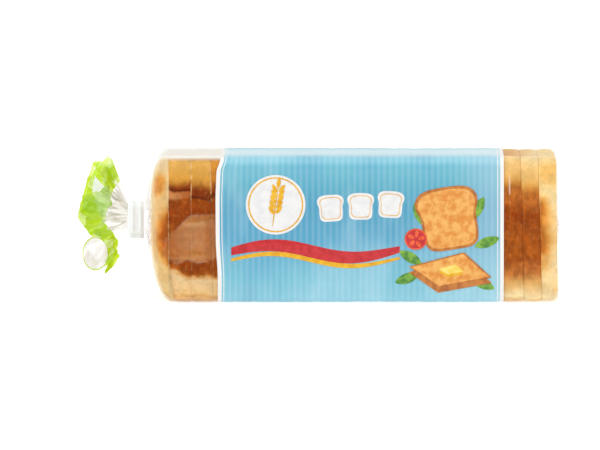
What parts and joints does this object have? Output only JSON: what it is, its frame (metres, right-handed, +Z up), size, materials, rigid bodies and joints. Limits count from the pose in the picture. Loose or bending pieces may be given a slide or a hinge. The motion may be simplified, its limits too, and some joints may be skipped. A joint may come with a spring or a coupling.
{
  "type": "bagged sliced toast loaf",
  "caption": "Square loaf of sliced toast bread on its base in a clear film bag with a wide printed band, the gathered neck held by a white strip with a ruffle behind it.",
  "frame": {"origin": "middle of the whole pack's footprint, on the surface it lies on", "axes": "+X along the loaf from the gathered neck to the flat end, +Z up, the front with the wide print to -Y"},
  "size_m": [0.323, 0.096, 0.096],
  "materials": {
    "printed_film": "glossy film with a pale blue band of fine upright stripes between white edges",
    "clear_film": "clear glossy film",
    "tail_print": "bright green print on glossy film",
    "closure_strip": "satin white",
    "bread_crust": "baked golden brown crust, paler at the top and the base",
    "bread_crumb": "matt cream crumb"
  },
  "bodies": {
    "root": {"bag": "printed_film", "closure_strip": "closure_strip"}
  },
  "joints": []
}
